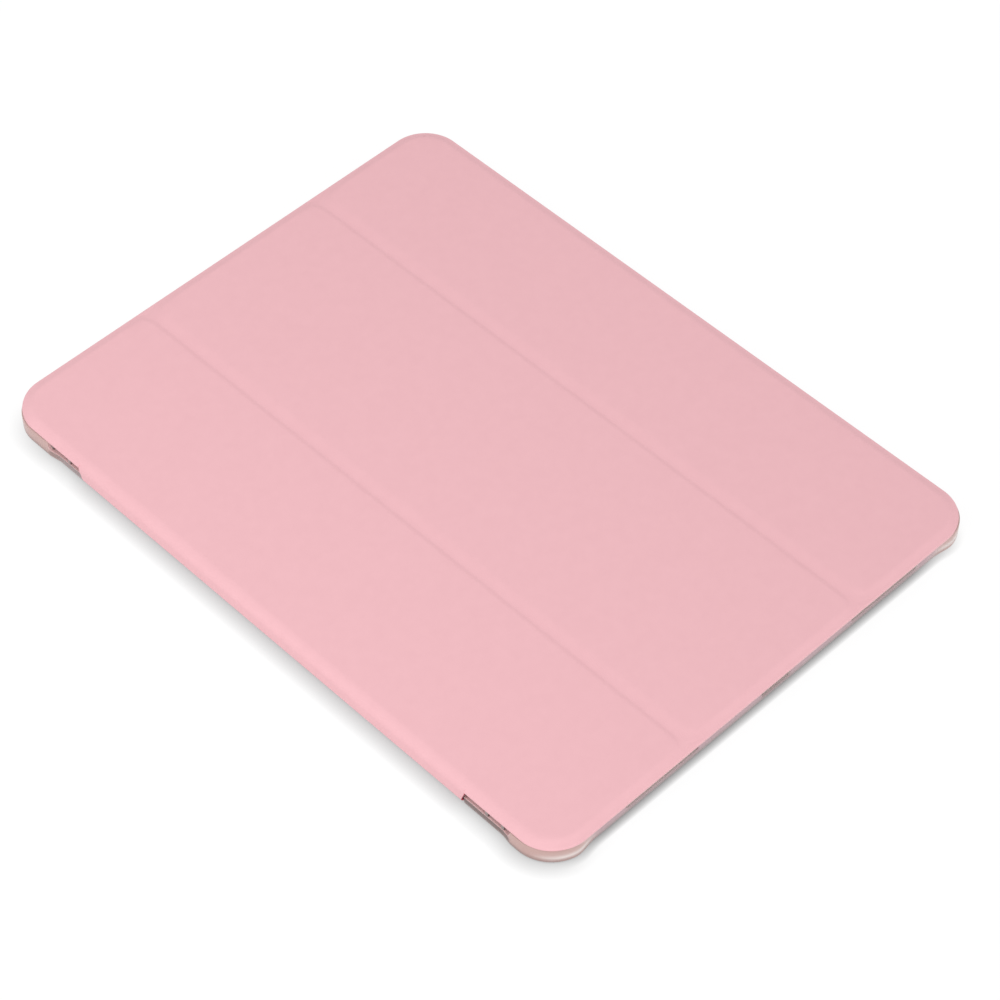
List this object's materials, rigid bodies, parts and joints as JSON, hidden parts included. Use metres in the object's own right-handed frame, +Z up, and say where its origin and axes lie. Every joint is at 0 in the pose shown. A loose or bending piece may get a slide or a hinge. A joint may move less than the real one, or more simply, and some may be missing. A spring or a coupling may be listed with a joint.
{
  "type": "tablet case",
  "caption": "Folding tablet case: a stiffened leather cover hinged along the spine of a frosted plastic back shell that holds the tablet; the cover also rolls into a stand.",
  "frame": {"origin": "centre of the closed case's outline, on the flat back that it rests on", "axes": "+Z up out of the cover, +Y along the spine towards the top of the tablet, +X from the spine to the free edge of the cover"},
  "size_m": [0.1912, 0.2536, 0.0092],
  "materials": {
    "frosted_plastic": "frosted, translucent",
    "pink_leather": "fine grain, matte",
    "microfibre": "short nap",
    "stiff_board": "pressed",
    "plated_steel": "nickel plated",
    "adhesive_tape": "film"
  },
  "bodies": {
    "shell": {"back_shell": "frosted_plastic", "back_strip": "pink_leather", "strip_adhesive": "adhesive_tape"},
    "spine": {"spine_leather": "pink_leather", "spine_lining": "microfibre"},
    "panel_1": {"panel_1_leather": "pink_leather", "panel_1_board": "stiff_board", "panel_1_keeper": "plated_steel", "panel_1_lining": "microfibre"},
    "fold_1": {"fold_1_leather": "pink_leather", "fold_1_lining": "microfibre"},
    "panel_2": {"panel_2_leather": "pink_leather", "panel_2_board": "stiff_board", "panel_2_lining": "microfibre"},
    "fold_2": {"fold_2_leather": "pink_leather", "fold_2_lining": "microfibre"},
    "panel_3": {"panel_3_leather": "pink_leather", "panel_3_board": "stiff_board", "panel_3_lining": "microfibre", "panel_3_magnet_1": "plated_steel", "panel_3_magnet_2": "plated_steel", "panel_3_magnet_3": "plated_steel", "panel_3_magnet_4": "plated_steel"}
  },
  "joints": [
    {"name": "spine_lower", "type": "hinge", "parent": "shell", "child": "spine", "pos_m": [-0.09458, 0, 0.00082], "axis": [0, -1, 0], "range_deg": [0, 179.9]},
    {"name": "spine_upper", "type": "hinge", "parent": "spine", "child": "panel_1", "pos_m": [-0.0947, 0, 0.00755], "axis": [0, -1, 0], "range_deg": [0, 179.9]},
    {"name": "fold_1_a", "type": "hinge", "parent": "panel_1", "child": "fold_1", "pos_m": [-0.0372, 0, 0.00825], "axis": [0, 1, 0], "range_deg": [-80, 0]},
    {"name": "fold_1_b", "type": "hinge", "parent": "fold_1", "child": "panel_2", "pos_m": [-0.0328, 0, 0.00825], "axis": [0, 1, 0], "range_deg": [-80, 0]},
    {"name": "fold_2_a", "type": "hinge", "parent": "panel_2", "child": "fold_2", "pos_m": [0.0403, 0, 0.00825], "axis": [0, 1, 0], "range_deg": [-87.5, 0]},
    {"name": "fold_2_b", "type": "hinge", "parent": "fold_2", "child": "panel_3", "pos_m": [0.0447, 0, 0.00825], "axis": [0, 1, 0], "range_deg": [-87.5, 0]}
  ]
}
